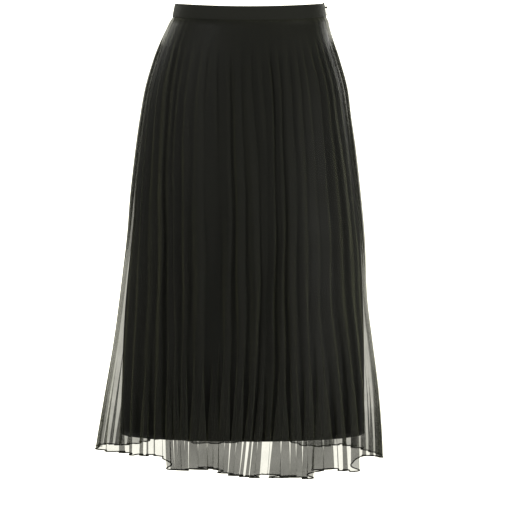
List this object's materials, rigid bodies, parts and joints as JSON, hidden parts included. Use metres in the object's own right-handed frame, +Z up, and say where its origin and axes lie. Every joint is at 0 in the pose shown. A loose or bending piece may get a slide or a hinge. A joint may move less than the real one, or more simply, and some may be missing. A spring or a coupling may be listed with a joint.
{
  "type": "pleated skirt",
  "caption": "Worn midi skirt of sheer cloth in sunray pleats over a slip lining, on a plain fitted waistband with a concealed side zip, open at waist and hem.",
  "frame": {"origin": "the middle of the waistband: half way between its sides, half way up it at the side seams", "axes": "+Z up, +X to the wearer's left, the front faces -Y"},
  "size_m": [0.4761, 0.3854, 0.773],
  "materials": {
    "chiffon": "sheer black chiffon, matt, permanently pleated",
    "lining": "opaque black lining satin",
    "band_cloth": "matt black cloth",
    "zip_tape": "black woven tape and coil",
    "zip_metal": "dark lacquered metal"
  },
  "bodies": {
    "skirt": {"waistband_front": "band_cloth", "waistband_back": "band_cloth", "skirt_front": "chiffon", "skirt_back": "chiffon", "lining_front": "lining", "lining_back": "lining", "side_zip": "zip_tape", "zip_slider": "zip_metal"},
    "pull": {"zip_pull": "zip_metal"}
  },
  "joints": [
    {"name": "pull_hinge", "type": "hinge", "parent": "skirt", "child": "pull", "pos_m": [0.12784, 0, 0.0052], "axis": [0, -1, 0], "range_deg": [0, 170]}
  ]
}
